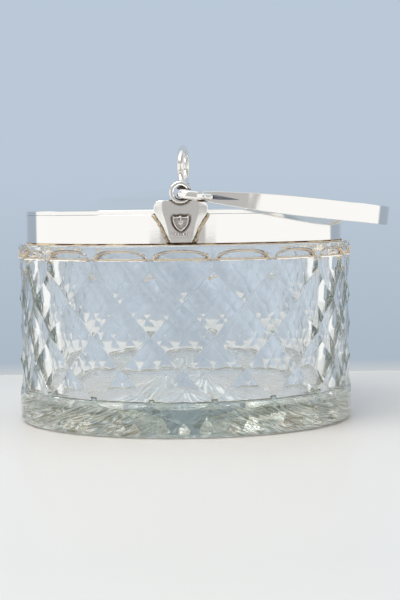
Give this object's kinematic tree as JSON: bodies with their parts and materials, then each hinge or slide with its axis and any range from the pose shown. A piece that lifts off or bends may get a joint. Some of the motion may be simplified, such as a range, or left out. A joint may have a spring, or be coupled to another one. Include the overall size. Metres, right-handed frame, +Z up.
{
  "type": "biscuit barrel",
  "caption": "Low round pressed-glass biscuit barrel with lens-cut diamonds and a star base, silver-plated collar, lift-off domed lid with ring finial, and a flat swing handle on cast lugs.",
  "frame": {"origin": "centre of the underside of the glass bowl, on the surface it stands on", "axes": "+Z up, along the bowl's axis; the lugs lie at -Y (front) and +Y; at rest the handle lies down over +X"},
  "size_m": [0.179, 0.1726, 0.1311],
  "materials": {
    "pressed_glass": "clear, fire-polished, faint grey-green in depth",
    "silver_plate": "polished silver plate with fine hairlines and faint brown tarnish in the corners",
    "cast_silver_plate": "polished cast silver plate, brown tarnish in the recesses",
    "tarnished_solder": "plated solder pad with brown tarnish along its edge",
    "bedding_plaster": "matte plaster stained brown at its edge",
    "brass_fastener": "satin"
  },
  "bodies": {
    "root": {"glass_bowl": "pressed_glass", "plaster_bedding": "bedding_plaster", "rim_band": "silver_plate", "front_lug": "cast_silver_plate", "back_lug": "cast_silver_plate", "front_lug_seat": "tarnished_solder", "back_lug_seat": "tarnished_solder"},
    "lid_assembly": {"lid": "silver_plate", "lid_bezel": "silver_plate", "finial_boss": "silver_plate", "finial_ring": "silver_plate", "finial_stud": "brass_fastener", "finial_washer": "brass_fastener", "finial_nut": "brass_fastener"},
    "bail": {"bail_band": "silver_plate", "front_bail_hook": "cast_silver_plate", "back_bail_hook": "cast_silver_plate"}
  },
  "joints": [
    {"name": "bail_swing", "type": "hinge", "parent": "root", "child": "bail", "pos_m": [0, 0, 0.1069], "axis": [0, -1, 0], "range_deg": [0, 192.97]},
    {"name": "lid_lift", "type": "slide", "parent": "root", "child": "lid_assembly", "axis": [0, 0, 1], "range_m": [0, 0.06]}
  ]
}
